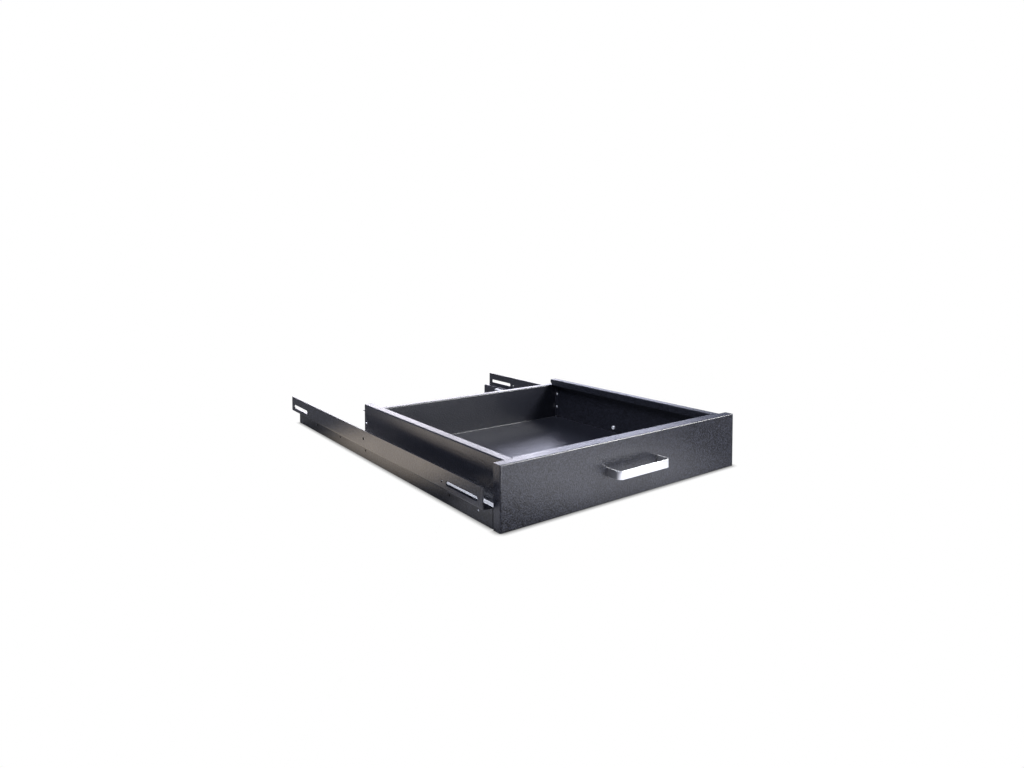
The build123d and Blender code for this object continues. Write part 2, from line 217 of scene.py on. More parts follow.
def linear(colour):
    """The linear colour of an sRGB hex value, by that standard's own curve."""
    top, knee, slope, lift, power = 255, 0.04045, 12.92, 0.055, 2.4
    channels = [int(colour[place : place + 2], 16) / top for place in (0, 2, 4)]
    curve = [part / slope if part <= knee else ((part + lift) / (1 + lift)) ** power for part in channels]
    return (*curve, 1.0)


def node(tree, kind, settings=None, inputs=None):
    """Adds a node: its settings by name, then each input's constant or the output that feeds it."""
    made = tree.nodes.new(kind)
    for name, value in (settings or {}).items():
        setattr(made, name, value)
    for name, value in (inputs or {}).items():
        if isinstance(value, bpy.types.NodeSocket):
            tree.links.new(value, made.inputs[name])
        else:
            made.inputs[name].default_value = value
    return made


def finish_tree(name):
    """An empty material tree with its output."""
    finish = bpy.data.materials.new(name)
    finish.use_nodes = True
    finish.node_tree.nodes.clear()
    return finish, finish.node_tree, node(finish.node_tree, "ShaderNodeOutputMaterial")


# Most of a noise's values lie in this span
usual_span = (0.3, 0.7)


def metal(name, colour, spacing, roughness, metallic=1.0, detail=3.0, span=usual_span):
    """A metal with its gloss between two roughnesses, over noise of that spacing on X, Y and Z."""
    finish, tree, output = finish_tree(name)
    place = node(tree, "ShaderNodeTexCoord").outputs["Object"]
    stretched = node(
        tree,
        "ShaderNodeMapping",
        {},
        {"Vector": place, "Scale": [1 / step for step in spacing]},
    )
    lines = node(
        tree, "ShaderNodeTexNoise", {}, {"Vector": stretched.outputs[0], "Scale": 1.0, "Detail": detail}
    )
    gloss = node(
        tree,
        "ShaderNodeMapRange",
        {},
        {
            "Value": lines.outputs[0],
            "From Min": span[0],
            "From Max": span[1],
            "To Min": roughness[0],
            "To Max": roughness[1],
        },
    )
    surface = node(
        tree,
        "ShaderNodeBsdfPrincipled",
        {},
        {"Base Color": linear(colour), "Metallic": metallic, "Roughness": gloss.outputs[0]},
    )
    tree.links.new(surface.outputs[0], output.inputs[0])
    return finish


def mottled(name, dark, pale, step, roughness, metallic=0.0):
    """An even gloss over a tint that varies between two colours, over noise of that step."""
    finish, tree, output = finish_tree(name)
    place = node(tree, "ShaderNodeTexCoord").outputs["Object"]
    patches = node(tree, "ShaderNodeTexNoise", {}, {"Vector": place, "Scale": 1 / step, "Detail": 3.0})
    tint = node(
        tree,
        "ShaderNodeMix",
        {"data_type": "RGBA"},
        {mix_share: patches.outputs[0], mix_from: linear(dark), mix_to: linear(pale)},
    )
    surface = node(
        tree,
        "ShaderNodeBsdfPrincipled",
        {},
        {"Base Color": tint.outputs[mix_result], "Metallic": metallic, "Roughness": roughness},
    )
    tree.links.new(surface.outputs[0], output.inputs[0])
    return finish


# Satin black polyester powder coat, sprayed dry and baked: near black under a broad soft sheen.
# Its skin is pebbled like orange peel, about 0.6 mm between bumps. The peel is drawn four times as
# coarse and its specks three times, one to two pixels wide, so that they show as the coat's grain.
coat_layers = {
    "peel": {"step": 2.6 * mm, "detail": 2.0, "roughness": 0.5},
    "grain": {"step": 1.8 * mm, "detail": 1.0, "roughness": 0.6},
    "cloud": {"step": 60 * mm, "detail": 3.0, "roughness": 0.5},
}
coat_dark = "040408"
coat_speck = "292B34"
speck_span = (0.38, 0.66)
coat_roughness = (0.29, 0.34)
coat_bump = 0.6
coat_relief = 0.6 * mm
coat_refraction = 1.6
powder_coat, tree, output = finish_tree("satin_black_powder_coat")
place = node(tree, "ShaderNodeTexCoord").outputs["Object"]
layers = {}
for layer, look in coat_layers.items():
    layers[layer] = node(
        tree,
        "ShaderNodeTexNoise",
        {},
        {
            "Vector": place,
            "Scale": 1 / look["step"],
            "Detail": look["detail"],
            "Roughness": look["roughness"],
        },
    ).outputs[0]
speck = node(
    tree,
    "ShaderNodeMapRange",
    {},
    {"Value": layers["grain"], "From Min": speck_span[0], "From Max": speck_span[1]},
)
tint = node(
    tree,
    "ShaderNodeMix",
    {"data_type": "RGBA"},
    {mix_share: speck.outputs[0], mix_from: linear(coat_dark), mix_to: linear(coat_speck)},
)
gloss = node(
    tree,
    "ShaderNodeMapRange",
    {},
    {
        "Value": layers["cloud"],
        "From Min": usual_span[0],
        "From Max": usual_span[1],
        "To Min": coat_roughness[0],
        "To Max": coat_roughness[1],
    },
)
bumps = node(
    tree,
    "ShaderNodeBump",
    {},
    {"Strength": coat_bump, "Distance": coat_relief, "Height": layers["peel"]},
)
coat = node(
    tree,
    "ShaderNodeBsdfPrincipled",
    {},
    {
        "Base Color": tint.outputs[mix_result],
        "Roughness": gloss.outputs[0],
        "Normal": bumps.outputs[0],
        "IOR": coat_refraction,
    },
)
tree.links.new(coat.outputs[0], output.inputs[0])

# Bright zinc plate on cold-rolled strip: pale and faintly blue, with rolling lines along the slide.
# Its fine crystals scatter much of the light, so it is a mirror only in part.
zinc_plate = metal(
    "bright_zinc_plate",
    colour="F4F6F8",
    spacing=(0.4 * mm, 30 * mm, 0.4 * mm),
    roughness=(0.38, 0.52),
    metallic=0.4,
)

# Cold-rolled steel strip of the ball cages, pressed and left bare under oil: greyer and smoother than zinc
cage_strip = metal(
    "oiled_steel_strip",
    colour="B4B5B8",
    spacing=[6 * mm] * 3,
    roughness=(0.24, 0.4),
)

# Satin anodised aluminium: an extruded bar, brushed along its length before its clear oxide was grown.
# Fine lines of more and less gloss run along the bar, under a soft and even shine.
anodised = metal(
    "satin_anodised_aluminium",
    colour="DDDEE0",
    spacing=(40 * mm, 40 * mm, 0.35 * mm),
    roughness=(0.30, 0.42),
    detail=2.0,
)

# Moulded black rubber, matt with a dusty bloom
rubber = mottled(
    "moulded_black_rubber",
    dark="141414",
    pale="2A2A2B",
    step=1.5 * mm,
    roughness=0.72,
)

# Black-oxide screw steel: a dark converted skin, thin enough that the metal still shines through it
black_oxide = mottled(
    "black_oxide_screw_steel",
    dark="18181A",
    pale="343538",
    step=0.7 * mm,
    roughness=0.42,
    metallic=0.6,
)

# Ground bearing steel: hard, bright and nearly mirror smooth, with a film of grease over it
bearing_steel = metal(
    "ground_bearing_steel",
    colour="D2D4D8",
    spacing=[2.0 * mm] * 3,
    roughness=(0.06, 0.2),
    detail=2.0,
    span=(0.35, 0.65),
)

# Blind rivets of plain aluminium: soft pale metal, dulled by its own oxide
plain_aluminium = metal(
    "plain_rivet_aluminium",
    colour="E9EAEC",
    spacing=[0.5 * mm] * 3,
    roughness=(0.28, 0.4),
)

slot_finishes = {
    "black_coat": powder_coat,
    "zinc_plate": zinc_plate,
    "cage_steel": cage_strip,
    "ball_steel": bearing_steel,
    "rubber": rubber,
    "black_screws": black_oxide,
    "zinc_screws": zinc_plate,
    "rivet_aluminium": plain_aluminium,
    "handle_aluminium": anodised,
}
slot_nodes = {
    "black_coat": ["rail_left", "rail_right", "tray", "tray_floor", "front_panel"],
    "zinc_plate": ["slide_outer_left", "slide_outer_right", "slide_inner_left", "slide_inner_right"],
    "cage_steel": ["ball_cage_left", "ball_cage_right"],
    "ball_steel": ["slide_balls_left", "slide_balls_right"],
    "rubber": ["slide_buffer_left", "slide_buffer_right"],
    "black_screws": ["rail_screws_left", "rail_screws_right"],
    "zinc_screws": ["slide_screws_left", "slide_screws_right", "panel_studs", "panel_nuts"],
    "rivet_aluminium": ["corner_rivets_left", "corner_rivets_right"],
    "handle_aluminium": ["handle"],
}
node_slots = {name: slot for slot, names in slot_nodes.items() for name in names}


def dressed(name, *sources, behind=None):
    """A welded copy of CAD nodes as one piece, with smooth bends and a fine radius on its edges.

    Only what lies behind the plane at that depth is kept, if one is given.
    """
    work = bmesh.new()
    for source in sources:
        cad = frame["nodes"][source].data
        corners = [work.verts.new(point.co) for point in cad.vertices]
        for face in cad.polygons:
            work.faces.new([corners[corner] for corner in face.vertices])
    bmesh.ops.remove_doubles(work, verts=work.verts, dist=weld_distance)
    if behind is not None:
        whole = [*work.verts, *work.edges, *work.faces]
        bmesh.ops.bisect_plane(
            work, geom=whole, plane_co=(0, behind, 0), plane_no=(0, 1, 0), clear_inner=True
        )
        bmesh.ops.holes_fill(work, edges=[edge for edge in work.edges if edge.is_boundary], sides=0)
    if "tray_floor" in sources:
        # The faces where floor and walls meet lie inside the sheet
        low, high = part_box("tray_floor")
        inside = []
        for face in work.faces:
            middle = face.calc_center_median()
            if middle.z > high.z + weld_distance:
                continue
            on_side = min(abs(middle.x - low.x), abs(middle.x - high.x)) < seam_reach
            on_end = min(abs(middle.y - low.y), abs(middle.y - high.y)) < seam_reach
            faces_side = abs(face.normal.x) > square_on
            faces_end = abs(face.normal.y) > square_on
            if (on_side and faces_side) or (on_end and faces_end):
                inside.append(face)
        bmesh.ops.delete(work, geom=inside, context="FACES")
    bmesh.ops.dissolve_limit(work, angle_limit=flat_angle, verts=work.verts, edges=work.edges)
    mesh = bpy.data.meshes.new(name)
    work.to_mesh(mesh)
    work.free()
    mesh.shade_smooth()
    mesh.set_sharp_from_angle(angle=smooth_angle)
    slot = node_slots[sources[0]]
    mesh.materials.append(slot_finishes[slot])
    piece = bpy.data.objects.new(name, mesh)
    collection.objects.link(piece)
    bevel = piece.modifiers.new("sheet_edge", "BEVEL")
    bevel.width = sheet_edge
    bevel.segments = edge_steps
    bevel.limit_method = "ANGLE"
    bevel.angle_limit = edge_angle
    bevel.use_clamp_overlap = True
    weighted = piece.modifiers.new("even_normals", "WEIGHTED_NORMAL")
    weighted.keep_sharp = True
    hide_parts(*sources)
    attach(piece, frame["nodes"][sources[0]]["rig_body"])


def shape_tree(name, sizes):
    """A geometry tree with a named input for each size; gives the tree and its inputs."""
    tree = bpy.data.node_groups.new(name, "GeometryNodeTree")
    tree.interface.new_socket("Geometry", in_out="INPUT", socket_type="NodeSocketGeometry")
    tree.interface.new_socket("Geometry", in_out="OUTPUT", socket_type="NodeSocketGeometry")
    tree.interface.new_socket("Turn", in_out="INPUT", socket_type="NodeSocketVector")
    tree.interface.new_socket("Finish", in_out="INPUT", socket_type="NodeSocketMaterial")
    for size in sizes:
        tree.interface.new_socket(size, in_out="INPUT", socket_type="NodeSocketFloat")
    return tree, node(tree, "NodeGroupInput").outputs


def turned(tree, rings, sides):
    """A turned skin: bands between rings of radius and height, given from the lowest up."""
    bands = node(tree, "GeometryNodeJoinGeometry")
    for (low_radius, low_height), (high_radius, high_height) in zip(rings, rings[1:]):
        depth = node(
            tree, "ShaderNodeMath", {"operation": "SUBTRACT"}, {0: high_height, 1: low_height}
        )
        band = node(
            tree,
            "GeometryNodeMeshCone",
            {"fill_type": "NONE"},
            {
                "Vertices": sides,
                "Radius Bottom": low_radius,
                "Radius Top": high_radius,
                "Depth": depth.outputs[0],
            },
        )
        lift = node(tree, "ShaderNodeCombineXYZ", {}, {"Z": low_height})
        moved = node(
            tree,
            "GeometryNodeTransform",
            {},
            {"Geometry": band.outputs[0], "Translation": lift.outputs[0]},
        )
        tree.links.new(moved.outputs[0], bands.inputs[0])
    return bands


def welded(tree, geometry):
    """Joined skins with their meeting rings merged."""
    weld = node(
        tree,
        "GeometryNodeMergeByDistance",
        {},
        {"Geometry": geometry, "Distance": weld_distance},
    )
    return weld.outputs[0]


def crown(tree, outer, inner, low, high, steps):
    """Rings of a rounded edge or dome, from the outer radius below to the inner one above."""
    rings = []
    for step in range(steps + 1):
        turn = quarter_turn * step / steps
        across = node(
            tree,
            "ShaderNodeMapRange",
            {},
            {"Value": math.cos(turn), "To Min": inner, "To Max": outer},
        )
        up = node(
            tree, "ShaderNodeMapRange", {}, {"Value": math.sin(turn), "To Min": low, "To Max": high}
        )
        rings.append((across.outputs[0], up.outputs[0]))
    return rings


def placed(tree, inputs, shape, spin=None):
    """Puts a shape on every point of the input, turned and spun, as one plain mesh."""
    rotation = node(tree, "FunctionNodeEulerToRotation", {}, {0: inputs["Turn"]}).outputs[0]
    if spin is not None:
        chance = node(
            tree,
            "FunctionNodeRandomValue",
            {"data_type": "FLOAT"},
            {"Max": math.tau, "Seed": spin},
        )
        about = node(tree, "ShaderNodeCombineXYZ", {}, {"Z": chance.outputs[1]})
        twist = node(tree, "FunctionNodeEulerToRotation", {}, {0: about.outputs[0]})
        rotation = node(
            tree,
            "FunctionNodeRotateRotation",
            {"rotation_space": "LOCAL"},
            {"Rotation": rotation, "Rotate By": twist.outputs[0]},
        ).outputs[0]
    copies = node(
        tree,
        "GeometryNodeInstanceOnPoints",
        {},
        {"Points": inputs["Geometry"], "Instance": shape, "Rotation": rotation},
    )
    solid = node(tree, "GeometryNodeRealizeInstances", {}, {0: copies.outputs[0]})
    painted = node(
        tree,
        "GeometryNodeSetMaterial",
        {},
        {"Geometry": solid.outputs[0], "Material": inputs["Finish"]},
    )
    node(tree, "NodeGroupOutput", {}, {0: painted.outputs[0]})


def grown(name, tree, sizes, points, turn, source, slot, edges=()):
    """Runs a geometry tree on some points and keeps its result as a plain mesh in place of a node."""
    seed = bpy.data.meshes.new(name)
    seed.from_pydata(points, edges, [])
    carrier = bpy.data.objects.new(name + "_tree", seed)
    collection.objects.link(carrier)
    run = carrier.modifiers.new(name, "NODES")
    run.node_group = tree
    for socket in tree.interface.items_tree:
        if socket.in_out == "INPUT" and socket.name in sizes:
            run[socket.identifier] = sizes[socket.name]
        if socket.in_out == "INPUT" and socket.name == "Turn":
            run[socket.identifier] = turn
        if socket.in_out == "INPUT" and socket.name == "Finish":
            run[socket.identifier] = slot_finishes[slot]
    graph = bpy.context.evaluated_depsgraph_get()
    mesh = bpy.data.meshes.new_from_object(carrier.evaluated_get(graph), depsgraph=graph)
    bpy.data.objects.remove(carrier)
    work = bmesh.new()
    work.from_mesh(mesh)
    bmesh.ops.remove_doubles(work, verts=work.verts, dist=weld_distance)
    bmesh.ops.recalc_face_normals(work, faces=work.faces)
    work.to_mesh(mesh)
    work.free()
    mesh.shade_smooth()
    mesh.set_sharp_from_angle(angle=smooth_angle)
    piece = bpy.data.objects.new(name, mesh)
    collection.objects.link(piece)
    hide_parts(source)
    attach(piece, frame["nodes"][source]["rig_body"])


for name, cad in frame["nodes"].items():
    cad.data.materials.clear()
    cad.data.materials.append(slot_finishes[node_slots[name]])

for side in ("left", "right"):
    for source in ("rail", "slide_outer", "slide_inner", "ball_cage"):
        dressed(f"{source}_sheet_{side}", f"{source}_{side}")
dressed("tray_sheet", "tray", "tray_floor")
dressed("panel_sheet", "front_panel")

# Blind rivet: a shallow dome with the hole that its pulled pin left, and a swollen tail outside
rivet, inputs = shape_tree("blind_rivet", rivet_sizes)
hole_floor = node(
    rivet,
    "ShaderNodeMath",
    {"operation": "SUBTRACT"},
    {0: inputs["Head height"], 1: inputs["Hole depth"]},
).outputs[0]
grip = node(rivet, "ShaderNodeMath", {"operation": "MULTIPLY"}, {0: inputs["Grip"], 1: -1}).outputs[0]
tail = node(
    rivet, "ShaderNodeMath", {"operation": "SUBTRACT"}, {0: grip, 1: inputs["Tail length"]}
).outputs[0]
tail_swell = crown(rivet, inputs["Shank radius"], inputs["Tail radius"], tail, grip, crown_steps)
outside = turned(
    rivet,
    [(0, tail)]
    + tail_swell
    + [(inputs["Shank radius"], grip), (inputs["Shank radius"], 0)]
    + crown(rivet, inputs["Head radius"], inputs["Hole radius"], 0, inputs["Head height"], crown_steps),
    turned_sides,
)
hole = turned(
    rivet,
    [(0, hole_floor), (inputs["Hole radius"], hole_floor), (inputs["Hole radius"], inputs["Head height"])],
    turned_sides,
)
rivet.links.new(hole.outputs[0], outside.inputs[0])
placed(rivet, inputs, welded(rivet, outside.outputs[0]))

# Pan-head screw with a cross recess, and a few turns of thread through the wall into the slide
pan_screw, inputs = shape_tree("pan_head_screw", pan_screw_sizes)
head_low, head_flat = [
    node(
        pan_screw,
        "ShaderNodeMath",
        {"operation": "SUBTRACT"},
        {0: inputs[measure], 1: inputs["Head round"]},
    ).outputs[0]
    for measure in ("Head height", "Head radius")
]
thread_rings = []
for half_turn in range(2 * pan_screw_threads, -1, -1):
    depth = node(
        pan_screw, "ShaderNodeMath", {"operation": "MULTIPLY"}, {0: inputs["Pitch"], 1: -half_turn / 2}
    ).outputs[0]
    crest = inputs["Shank radius"] if half_turn % 2 else inputs["Root radius"]
    thread_rings.append((crest, depth))
blank = turned(
    pan_screw,
    [(0, thread_rings[0][1])]
    + thread_rings
    + [(inputs["Head radius"], 0)]
    + crown(pan_screw, inputs["Head radius"], head_flat, head_low, inputs["Head height"], crown_steps)
    + [(0, inputs["Head height"])],
    turned_sides,
)
recess = node(
    pan_screw,
    "GeometryNodeMeshBoolean",
    {"operation": "DIFFERENCE", "solver": "EXACT"},
    {"Mesh 1": welded(pan_screw, blank.outputs[0])},
)
double_depth = node(
    pan_screw, "ShaderNodeMath", {"operation": "MULTIPLY"}, {0: inputs["Cross depth"], 1: 2}
).outputs[0]
top = node(pan_screw, "ShaderNodeCombineXYZ", {}, {"Z": inputs["Head height"]}).outputs[0]
for long_way, short_way in (("X", "Y"), ("Y", "X")):
    blade = node(
        pan_screw,
        "ShaderNodeCombineXYZ",
        {},
        {long_way: inputs["Cross length"], short_way: inputs["Cross width"], "Z": double_depth},
    )
    bit = node(pan_screw, "GeometryNodeMeshCube", {}, {"Size": blade.outputs[0]})
    moved = node(pan_screw, "GeometryNodeTransform", {}, {"Geometry": bit.outputs[0], "Translation": top})
    pan_screw.links.new(moved.outputs[0], recess.inputs["Mesh 2"])
placed(pan_screw, inputs, recess.outputs[0], spin=pan_screw_seed)

# Countersunk screw between slide and rail: hex socket inside, cup point flush in the rail's outside
rail_screw, inputs = shape_tree("countersunk_screw", rail_screw_sizes)
tip = node(rail_screw, "ShaderNodeMath", {"operation": "MULTIPLY"}, {0: inputs["Length"], 1: -1}).outputs[0]
neck = node(
    rail_screw, "ShaderNodeMath", {"operation": "MULTIPLY"}, {0: inputs["Head depth"], 1: -1}
).outputs[0]
cup_end = node(
    rail_screw, "ShaderNodeMath", {"operation": "ADD"}, {0: tip, 1: inputs["Cup depth"]}
).outputs[0]
point = turned(
    rail_screw,
    [(inputs["Cup radius"], tip)]
    + [(inputs["Shank radius"], cup_end), (inputs["Shank radius"], neck)]
    + [(inputs["Head radius"], 0), (0, 0)],
    turned_sides,
)
cup = turned(rail_screw, [(inputs["Cup radius"], tip), (0, cup_end)], turned_sides)
rail_screw.links.new(cup.outputs[0], point.inputs[0])
key_way = node(
    rail_screw,
    "GeometryNodeMeshCone",
    {"fill_type": "NGON"},
    {
        "Vertices": hex_sides,
        "Radius Bottom": inputs["Socket radius"],
        "Radius Top": inputs["Socket radius"],
        "Depth": inputs["Socket depth"],
    },
)
socket_low = node(
    rail_screw, "ShaderNodeMath", {"operation": "MULTIPLY"}, {0: inputs["Socket depth"], 1: -socket_sink}
)
drop = node(rail_screw, "ShaderNodeCombineXYZ", {}, {"Z": socket_low.outputs[0]})
sunk = node(
    rail_screw, "GeometryNodeTransform", {}, {"Geometry": key_way.outputs[0], "Translation": drop.outputs[0]}
)
socketed = node(
    rail_screw,
    "GeometryNodeMeshBoolean",
    {"operation": "DIFFERENCE", "solver": "EXACT"},
    {"Mesh 1": welded(rail_screw, point.outputs[0]), "Mesh 2": sunk.outputs[0]},
)
placed(rail_screw, inputs, socketed.outputs[0], spin=rail_screw_seed)

# Weld stud on the panel's back
stud, inputs = shape_tree("threaded_stud", stud_sizes)
rings = [(inputs["Shank radius"], 0)]
for half_turn in range(2 * stud_threads + 1):
    height = node(
        stud,
        "ShaderNodeMath",
        {"operation": "MULTIPLY_ADD"},
        {0: inputs["Pitch"], 1: half_turn / 2, 2: inputs["Foot"]},
    ).outputs[0]
    crest = inputs["Root radius"] if half_turn % 2 else inputs["Shank radius"]
    rings.append((crest, height))
rings.append((0, rings[-1][1]))
bolt = turned(stud, rings, turned_sides)
placed(stud, inputs, welded(stud, bolt.outputs[0]))

# Flange nut: a bevelled hexagon on a round foot
nut, inputs = shape_tree("flange_nut", nut_sizes)
bevel_low = node(
    nut, "ShaderNodeMath", {"operation": "SUBTRACT"}, {0: inputs["Height"], 1: inputs["Bevel"]}
).outputs[0]
narrow = node(
    nut, "ShaderNodeMath", {"operation": "SUBTRACT"}, {0: inputs["Corner radius"], 1: inputs["Bevel"]}
).outputs[0]
hexagon = node(
    nut,
    "GeometryNodeMeshCone",
    {"fill_type": "NGON"},
    {
        "Vertices": hex_sides,
        "Radius Bottom": inputs["Corner radius"],
        "Radius Top": inputs["Corner radius"],
        "Depth": inputs["Height"],
    },
)
turned_blank = turned(
    nut,
    [(0, 0), (inputs["Corner radius"], 0), (inputs["Corner radius"], bevel_low)]
    + [(narrow, inputs["Height"]), (0, inputs["Height"])],
    turned_sides,
)
bevelled = node(
    nut,
    "GeometryNodeMeshBoolean",
    {"operation": "INTERSECT", "solver": "EXACT"},
)
nut.links.new(hexagon.outputs[0], bevelled.inputs["Mesh 2"])
nut.links.new(welded(nut, turned_blank.outputs[0]), bevelled.inputs["Mesh 2"])
foot = turned(
    nut,
    [(0, 0), (inputs["Flange radius"], 0)]
    + crown(
        nut, inputs["Flange radius"], inputs["Corner radius"], 0, inputs["Flange height"], crown_steps
    )
    + [(0, inputs["Flange height"])],
    turned_sides,
)
whole = node(nut, "GeometryNodeJoinGeometry", {}, {0: bevelled.outputs[0]})
nut.links.new(welded(nut, foot.outputs[0]), whole.inputs[0])
placed(nut, inputs, whole.outputs[0], spin=nut_seed)

# Balls of a slide, in an upper and a lower row
balls, inputs = shape_tree("ball_rows", ball_sizes)
ball = node(
    balls,
    "GeometryNodeMeshUVSphere",
    {},
    {"Segments": ball_segments, "Rings": ball_rings, "Radius": inputs["Ball radius"]},
)
row_step = node(balls, "ShaderNodeCombineXYZ", {}, {"Y": inputs["Pitch"]})
row = node(
    balls,
    "GeometryNodeMeshLine",
    {"mode": "OFFSET"},
    {"Count": ball_count, "Offset": row_step.outputs[0]},
)
beads = node(
    balls, "GeometryNodeInstanceOnPoints", {}, {"Points": row.outputs[0], "Instance": ball.outputs[0]}
)
string = node(balls, "GeometryNodeRealizeInstances", {}, {0: beads.outputs[0]})
placed(balls, inputs, string.outputs[0])

facing = {"left": (0, quarter_turn, 0), "right": (0, -quarter_turn, 0)}
for side, sign in (("left", -1), ("right", 1)):
    low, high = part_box(f"corner_rivets_{side}")
    head_face = min(abs(low.x), abs(high.x)) + rivet_sizes["Head height"]
    rivet_rows = [
        (sign * head_face, y, z)
        for y in (low.y + rivet_sizes["Head radius"], high.y - rivet_sizes["Head radius"])
        for z in (low.z + rivet_sizes["Head radius"], high.z - rivet_sizes["Head radius"])
    ]
    grown(
        f"blind_rivets_{side}",
        rivet,
        rivet_sizes,
        rivet_rows,
        facing[side],
        f"corner_rivets_{side}",
        "rivet_aluminium",
    )

    low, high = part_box(f"slide_screws_{side}")
    wall = min(abs(low.x), abs(high.x)) + pan_screw_sizes["Head height"]
    first = low.y + pan_screw_sizes["Head radius"]
    last = high.y - pan_screw_sizes["Head radius"]
    middle_z = (low.z + high.z) / 2
    screw_rows = [(sign * wall, y, middle_z) for y in (first, (first + last) / 2, last)]
    grown(
        f"pan_screws_{side}",
        pan_screw,
        pan_screw_sizes,
        screw_rows,
        facing[side],
        f"slide_screws_{side}",
        "zinc_screws",
    )

    low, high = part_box(f"rail_screws_{side}")
    head_x = min(abs(low.x), abs(high.x))
    middle_z = (low.z + high.z) / 2
    screw_rows = [(sign * head_x, y, middle_z) for y in rail_screw_steps]
    for row_name, rows, finish_slot in (
        ("front_rail_screw", screw_rows[:1], "zinc_screws"),
        ("rail_screw_row", screw_rows[1:], "black_screws"),
    ):
        grown(
            f"{row_name}_{side}",
            rail_screw,
            rail_screw_sizes,
            rows,
            facing[side],
            f"rail_screws_{side}",
            finish_slot,
        )

    low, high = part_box(f"slide_balls_{side}")
    radius = ball_sizes["Ball radius"]
    row_starts = [((low.x + high.x) / 2, low.y + radius, z) for z in (low.z + radius, high.z - radius)]
    grown(
        f"ball_rows_{side}",
        balls,
        ball_sizes,
        row_starts,
        (0, 0, 0),
        f"slide_balls_{side}",
        "ball_steel",
    )

to_back = (-quarter_turn, 0, 0)
low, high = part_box("panel_studs")
radius = stud_sizes["Shank radius"]
stud_rows = [
    (x, low.y, z)
    for x in (low.x + radius, high.x - radius)
    for z in (low.z + radius, high.z - radius)
]
grown("stud_threads", stud, stud_sizes, stud_rows, to_back, "panel_studs", "zinc_screws")
nut_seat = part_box("panel_nuts")[0].y
nut_rows = [(x, nut_seat, z) for x, y, z in stud_rows]
grown("flange_nuts", nut, nut_sizes, nut_rows, to_back, "panel_nuts", "zinc_screws")

# Handle: the flat bar swept round its bends, up to the panel's face
bow, inputs = shape_tree("handle_bow", handle_sizes)
path = node(bow, "GeometryNodeMeshToCurve", {}, {"Mesh": inputs["Geometry"]})
bent = node(
    bow,
    "GeometryNodeFilletCurve",
    {"mode": "POLY"},
    {"Curve": path.outputs[0], "Count": bend_steps, "Radius": inputs["Bend"]},
)
upright = node(bow, "GeometryNodeSetCurveNormal", {"mode": "Z_UP"}, {"Curve": bent.outputs[0]})
section = node(
    bow,
    "GeometryNodeCurvePrimitiveQuadrilateral",
    {"mode": "RECTANGLE"},
    {"Width": inputs["Bar"], "Height": inputs["Bar width"]},
)
eased = node(
    bow,
    "GeometryNodeFilletCurve",
    {"mode": "POLY"},
    {"Curve": section.outputs[0], "Count": crown_steps, "Radius": inputs["Edge"]},
)
bar = node(
    bow,
    "GeometryNodeCurveToMesh",
    {},
    {"Curve": upright.outputs[0], "Profile Curve": eased.outputs[0], "Fill Caps": True},
)
painted = node(
    bow, "GeometryNodeSetMaterial", {}, {"Geometry": bar.outputs[0], "Material": inputs["Finish"]}
)
solid = node(bow, "GeometryNodeRealizeInstances", {}, {0: painted.outputs[0]})
node(bow, "NodeGroupOutput", {}, {0: solid.outputs[0]})

low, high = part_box("handle")
panel_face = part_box("front_panel")[0].y
half_bar = handle_sizes["Bar"] / 2
bow_z = (low.z + high.z) / 2
bow_points = [
    (low.x + half_bar, panel_face, bow_z),
    (low.x + half_bar, low.y + half_bar, bow_z),
    (high.x - half_bar, low.y + half_bar, bow_z),
    (high.x - half_bar, panel_face, bow_z),
]
grown(
    "handle_bow",
    bow,
    handle_sizes,
    bow_points,
    (0, 0, 0),
    "handle",
    "handle_aluminium",
    edges=[(step, step + 1) for step in range(len(bow_points) - 1)],
)

# Its tenons and their riveted heads, in and behind the panel
dressed("handle_tenons", "handle", behind=panel_face)

# Floor: white to the camera but for the contact shadow, and pale paint to scattered light
floor_mesh = bpy.data.meshes.new("floor")
floor_corners = [(x * floor_half, y * floor_half, 0) for x, y in ((-1, -1), (1, -1), (1, 1), (-1, 1))]
floor_mesh.from_pydata(floor_corners, [], [(0, 1, 2, 3)])
floor = bpy.data.objects.new("floor", floor_mesh)
collection.objects.link(floor)
floor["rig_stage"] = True
white_floor, tree, output = finish_tree("white_floor")
path = node(tree, "ShaderNodeLightPath")
seen = node(
    tree,
    "ShaderNodeMath",
    {"operation": "MAXIMUM"},
    {0: path.outputs["Is Glossy Ray"], 1: path.outputs["Is Transmission Ray"]},
)
shown = node(
    tree, "ShaderNodeMath", {"operation": "MAXIMUM"}, {0: path.outputs["Is Camera Ray"], 1: seen.outputs[0]}
)
nearness = node(
    tree, "ShaderNodeAmbientOcclusion", {"samples": shade_samples}, {"Distance": contact_reach}
)
contact = node(
    tree, "ShaderNodeMath", {"operation": "POWER"}, {0: nearness.outputs["AO"], 1: contact_depth}
)
# Gloss sees a floor with the wider shade that the object casts about its foot
farness = node(
    tree, "ShaderNodeAmbientOcclusion", {"samples": shade_samples}, {"Distance": mirror_reach}
)
shade = node(
    tree, "ShaderNodeMath", {"operation": "POWER"}, {0: farness.outputs["AO"], 1: mirror_depth}
)
